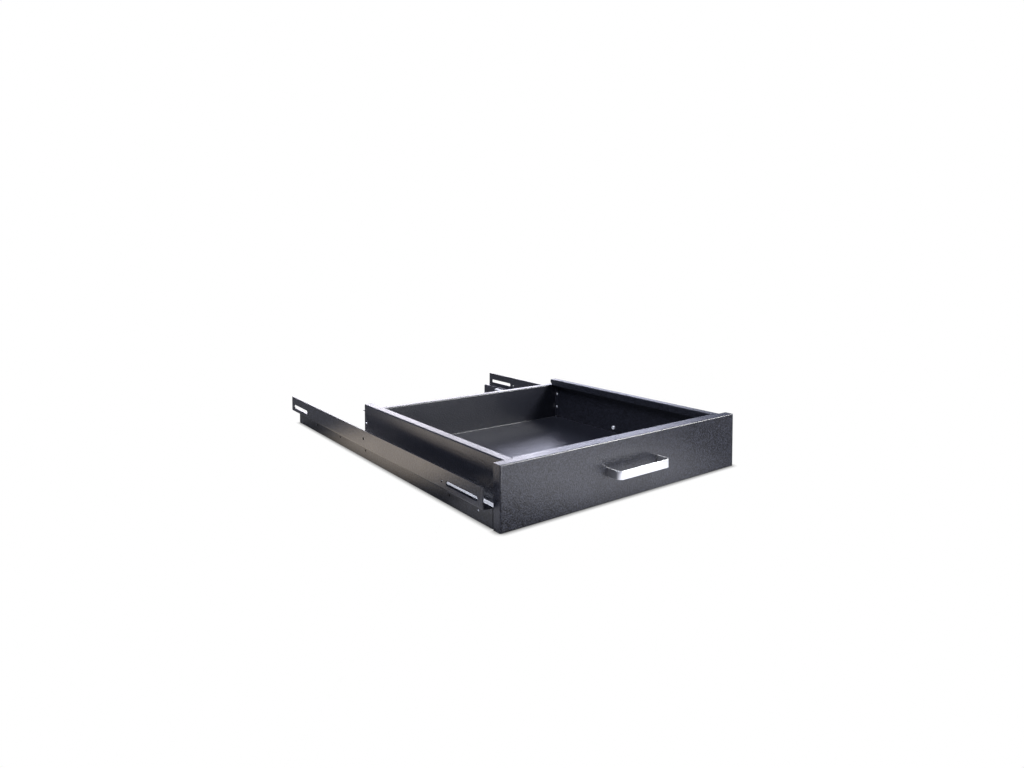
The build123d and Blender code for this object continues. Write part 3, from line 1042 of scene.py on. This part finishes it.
# and with the pools of light
level = mirror_light
for pool_place, core, rim, gain in zip(pool_places, pool_cores, pool_rims, pool_gains):
    away = node(
        tree,
        "ShaderNodeVectorMath",
        {"operation": "DISTANCE"},
        {0: node(tree, "ShaderNodeTexCoord").outputs["Object"], 1: pool_place},
    )
    pool = node(
        tree,
        "ShaderNodeMapRange",
        {"interpolation_type": "SMOOTHSTEP"},
        {"Value": away.outputs["Value"], "From Min": core, "From Max": rim, "To Min": gain, "To Max": 0.0},
    )
    level = node(
        tree, "ShaderNodeMath", {"operation": "ADD"}, {0: level, 1: pool.outputs[0]}
    ).outputs[0]
mirrored = node(
    tree, "ShaderNodeMath", {"operation": "MULTIPLY"}, {0: shade.outputs[0], 1: level}
)
warmth = node(
    tree,
    "ShaderNodeMix",
    {"data_type": "RGBA"},
    {mix_share: pool.outputs[0], mix_from: linear(mirror_hue), mix_to: linear(last_pool_hue)},
)
glow = node(
    tree, "ShaderNodeEmission", {}, {"Color": warmth.outputs[mix_result], "Strength": mirrored.outputs[0]}
)
paint = node(tree, "ShaderNodeBsdfDiffuse", {}, {"Color": linear(floor_paint)})
white = node(tree, "ShaderNodeEmission", {}, {"Strength": contact.outputs[0]})
light = node(
    tree,
    "ShaderNodeMixShader",
    {},
    {0: path.outputs["Is Camera Ray"], 1: glow.outputs[0], 2: white.outputs[0]},
)
both = node(
    tree, "ShaderNodeMixShader", {}, {0: shown.outputs[0], 1: paint.outputs[0], 2: light.outputs[0]}
)
tree.links.new(both.outputs[0], output.inputs[0])
floor_mesh.materials.append(white_floor)

# World: white to the camera; to the object a bright low band under a dim ceiling
world = bpy.data.worlds.new("studio")
bpy.context.scene.world = world
world.use_nodes = True
tree = world.node_tree
tree.nodes.clear()
way = node(tree, "ShaderNodeTexCoord").outputs["Generated"]
height = node(tree, "ShaderNodeSeparateXYZ", {}, {0: way}).outputs["Z"]
level = node(
    tree,
    "ShaderNodeMapRange",
    {"interpolation_type": "SMOOTHSTEP"},
    {
        "Value": height,
        "From Min": band_top - band_blur,
        "From Max": band_top + band_blur,
        "To Min": sky_low,
        "To Max": sky_high,
    },
)
path = node(tree, "ShaderNodeLightPath")
shown = node(
    tree,
    "ShaderNodeMix",
    {"data_type": "FLOAT"},
    {mix_share: path.outputs["Is Camera Ray"], float_from: level.outputs[0], float_to: 1.0},
)
hue = node(
    tree,
    "ShaderNodeMix",
    {"data_type": "RGBA"},
    {
        mix_share: path.outputs["Is Camera Ray"],
        mix_from: linear(sky_hue),
        mix_to: linear(plain_white),
    },
)
sky = node(
    tree, "ShaderNodeBackground", {}, {"Color": hue.outputs[mix_result], "Strength": shown.outputs[0]}
)
end = node(tree, "ShaderNodeOutputWorld")
tree.links.new(sky.outputs[0], end.inputs[0])


def lamp(name, place, aim, size, radiance, colour=plain_white):
    """A rectangular soft box at place, turned to aim; its radiance is the brightness of its face."""
    data = bpy.data.lights.new(name, "AREA")
    data.shape = "RECTANGLE"
    data.size, data.size_y = size
    data.energy = radiance * math.pi * size[0] * size[1]
    data.color = linear(colour)[:3]
    box = bpy.data.objects.new(name, data)
    box.location = place
    box.rotation_euler = (Vector(aim) - Vector(place)).to_track_quat("-Z", "Y").to_euler()
    collection.objects.link(box)


lamp("key", place=(1.3, -1.25, 1.4), aim=(0, -0.36, 0.09), size=(1.3, 0.35), radiance=62.0)
lamp(
    "low_front",
    place=(0.94, -2.67, 0.36),
    aim=(0, -0.36, 0.05),
    size=(1.0, 0.6),
    radiance=15.0,
    colour="FAFAFF",
)
lamp(
    "back",
    place=(0.98, 2.95, 0.58),
    aim=(0, 0, 0.05),
    size=(2.6, 0.86),
    radiance=6.2,
    colour="F6F2FC",
)
lamp(
    "high_back",
    place=(2.06, 1.92, 1.1),
    aim=(0, -0.1, 0.0),
    size=(1.1, 0.6),
    radiance=5.5,
    colour="E6E8FF",
)
lamp(
    "left_top",
    place=(-1.1, -0.2, 1.9),
    aim=(-0.2, 0, 0.05),
    size=(1.2, 1.2),
    radiance=13.0,
    colour="F1F3FF",
)

camera_data = bpy.data.cameras.new("camera")
camera_data.lens = camera_lens
camera_data.sensor_width = camera_sensor
camera_data.shift_y = camera_shift
camera = bpy.data.objects.new("camera", camera_data)
camera.location = camera_place
camera.rotation_euler = (quarter_turn - camera_dip, 0, camera_bearing)
collection.objects.link(camera)
bpy.context.scene.camera = camera

bpy.context.scene.view_settings.view_transform = "Standard"

low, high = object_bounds()
